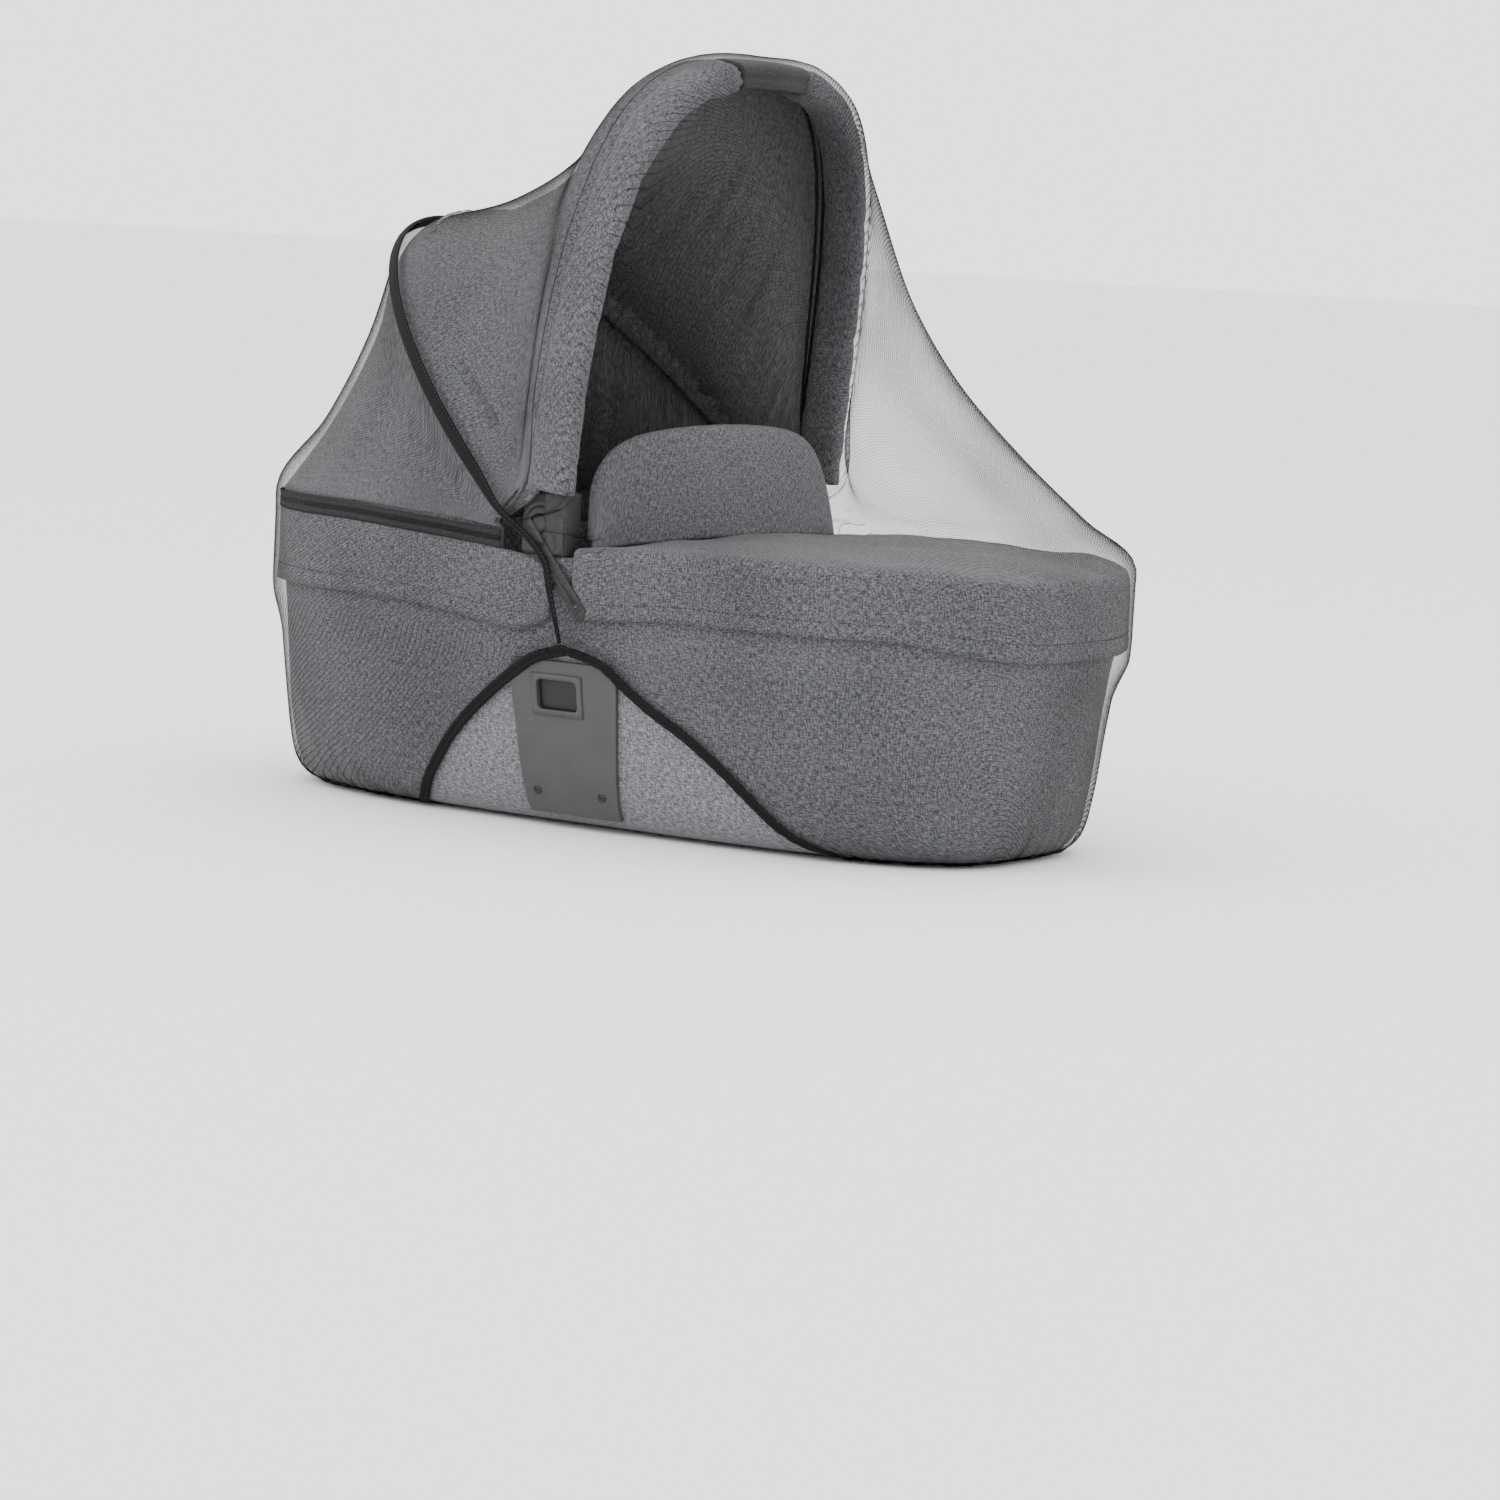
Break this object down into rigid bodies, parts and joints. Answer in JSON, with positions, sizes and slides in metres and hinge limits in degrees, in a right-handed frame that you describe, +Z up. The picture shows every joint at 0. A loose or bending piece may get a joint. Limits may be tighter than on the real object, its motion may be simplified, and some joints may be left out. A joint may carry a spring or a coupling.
{
  "type": "stroller mosquito net on a hooded carrycot",
  "caption": "Sheer mosquito net with an elastic hem, fitted over a hooded carrycot with soft foot cover, arched open on each side for the adapters.",
  "frame": {"origin": "centre of the footprint, on the surface that the net's hem rests on", "axes": "+X towards the foot end, -X towards the hood, +Z up"},
  "size_m": [0.81, 0.4408, 0.6673],
  "materials": {
    "net": "matte",
    "binding": "matte",
    "melange": "matte",
    "sleeve": "matte",
    "zip": "matte",
    "plastic": "matte"
  },
  "bodies": {
    "root": {"net_head_panel": "net", "net_front_panel": "net", "head_binding": "binding", "foot_binding": "binding", "ridge_seam_binding": "binding", "tub": "melange", "head_band": "melange", "hood_zip": "zip", "hood_canopy": "melange", "front_bow_roll_near": "melange", "front_bow_roll_far": "melange", "bow_grip": "plastic", "rear_bow_sleeve": "sleeve", "foot_apron": "melange", "wind_flap": "melange", "pivot_near": "plastic", "pivot_far": "plastic", "fixing_strap_near": "plastic", "fixing_strap_far": "plastic", "adapter_plate_near": "plastic", "adapter_plate_far": "plastic"}
  },
  "joints": []
}
